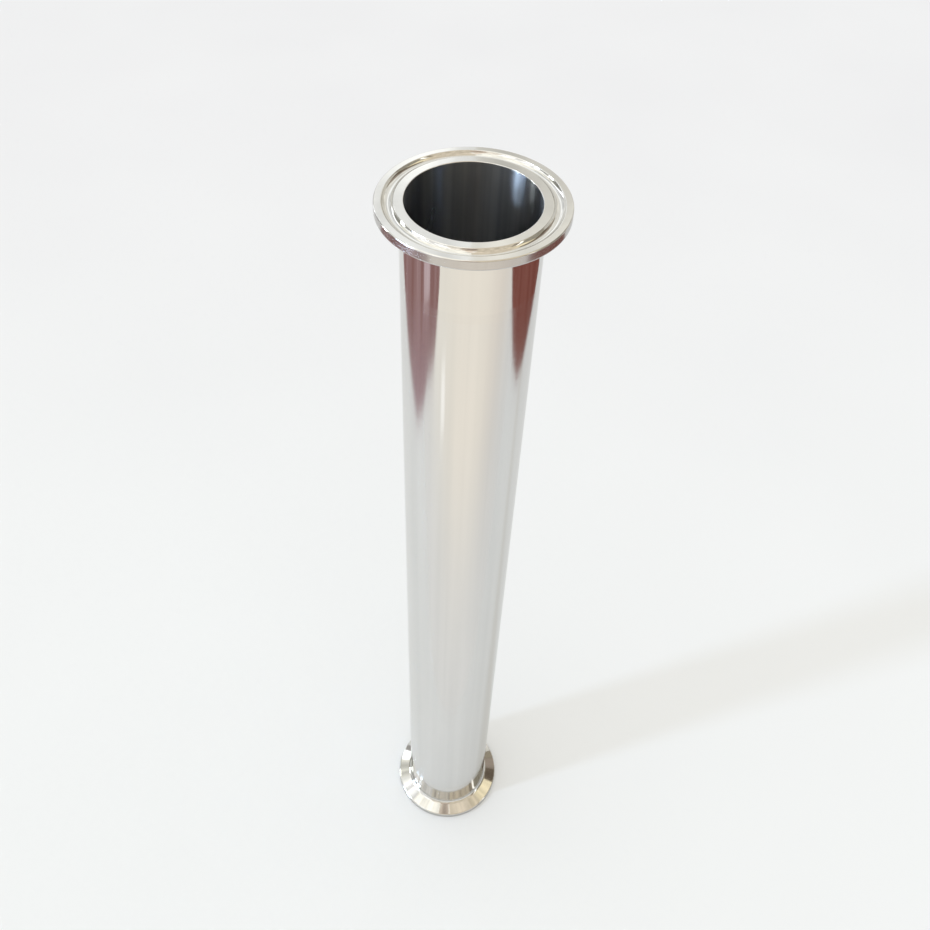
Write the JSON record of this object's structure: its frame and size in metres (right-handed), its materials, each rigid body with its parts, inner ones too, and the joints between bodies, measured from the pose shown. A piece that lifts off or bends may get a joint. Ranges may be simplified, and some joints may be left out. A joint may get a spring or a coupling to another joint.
{
  "type": "straight hygienic clamp spool",
  "caption": "Straight length of polished stainless hygienic tube with a clamp ferrule butt-welded to each end, for joining by gasket and clamp.",
  "frame": {"origin": "centre of the lower gasket face, at the bore's axis, which is the plane the spool stands on", "axes": "+Z along the bore from the lower gasket face to the upper one; +X and +Y are free, because the spool is round"},
  "size_m": [0.0506, 0.0504, 0.35],
  "materials": {
    "polished_stainless": "polished",
    "turned_stainless": "polished",
    "weld_stainless": "polished"
  },
  "bodies": {
    "root": {"lower_ferrule": "turned_stainless", "lower_girth_weld": "weld_stainless", "tube": "polished_stainless", "upper_girth_weld": "weld_stainless", "upper_ferrule": "turned_stainless"}
  },
  "joints": []
}
